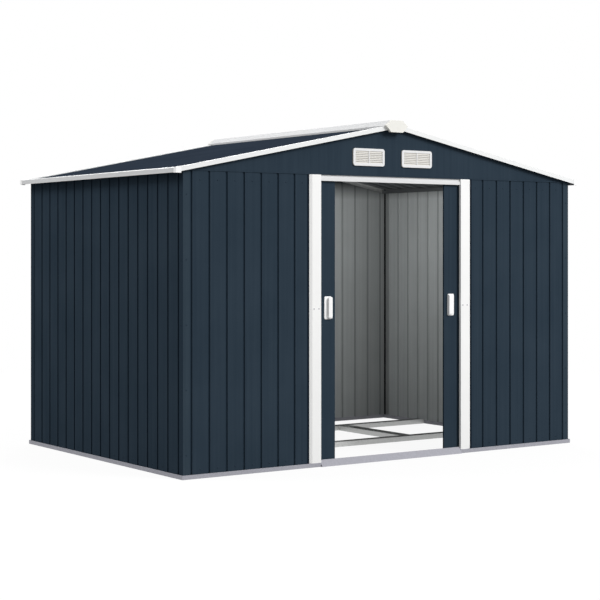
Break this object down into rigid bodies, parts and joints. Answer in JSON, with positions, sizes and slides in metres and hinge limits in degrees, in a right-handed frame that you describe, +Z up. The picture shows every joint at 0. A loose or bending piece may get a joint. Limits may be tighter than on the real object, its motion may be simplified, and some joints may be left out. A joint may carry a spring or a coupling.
{
  "type": "metal storage shed",
  "caption": "Gabled garden storage shed of grooved steel sheet on galvanised rails, with sliding double doors, pale trims and louvred gable vents.",
  "frame": {"origin": "on the ground under the middle of the shed's overall box", "axes": "+X to the right along the front, +Y from front to rear, +Z up"},
  "size_m": [2.762, 1.858, 1.8529],
  "materials": {
    "navy_sheet": "satin dark blue-grey coil coating outside, pale grey primer inside",
    "white_trim": "satin white coating on folded steel",
    "zinc_steel": "dull galvanised",
    "white_plastic": "fine moulded texture, white"
  },
  "bodies": {
    "shed": {"base_rail_front": "zinc_steel", "base_rail_rear": "zinc_steel", "base_rail_left": "zinc_steel", "base_rail_right": "zinc_steel", "floor_beam_front": "zinc_steel", "floor_beam_rear": "zinc_steel", "floor_cross_beams": "zinc_steel", "door_sill": "zinc_steel", "left_top_rail": "zinc_steel", "right_top_rail": "zinc_steel", "rear_slope_rails": "zinc_steel", "door_track": "zinc_steel", "ridge_beam": "zinc_steel", "purlins": "zinc_steel", "corner_post_front_left": "navy_sheet", "corner_post_front_right": "navy_sheet", "corner_post_rear_left": "navy_sheet", "corner_post_rear_right": "navy_sheet", "front_wall_left": "navy_sheet", "front_wall_right": "navy_sheet", "left_wall": "navy_sheet", "right_wall": "navy_sheet", "rear_wall": "navy_sheet", "front_gable": "navy_sheet", "left_roof": "navy_sheet", "right_roof": "navy_sheet", "jamb_left": "white_trim", "jamb_right": "white_trim", "door_header": "white_trim", "ridge_cap": "white_trim", "front_rake_trims": "white_trim", "rear_rake_trims": "white_trim", "left_eave_trim": "white_trim", "right_eave_trim": "white_trim", "gable_vents": "white_plastic", "ridge_end_caps": "white_plastic", "roof_corner_caps": "white_plastic"},
    "left_door": {"door_left": "navy_sheet", "door_left_handle": "white_plastic", "door_left_sliders": "white_plastic"},
    "right_door": {"door_right": "navy_sheet", "door_right_handle": "white_plastic", "door_right_sliders": "white_plastic"}
  },
  "joints": [
    {"name": "left_door_slide", "type": "slide", "parent": "shed", "child": "left_door", "axis": [1, 0, 0], "range_m": [0, 0.375]},
    {"name": "right_door_slide", "type": "slide", "parent": "shed", "child": "right_door", "axis": [-1, 0, 0], "range_m": [0, 0.375]}
  ]
}
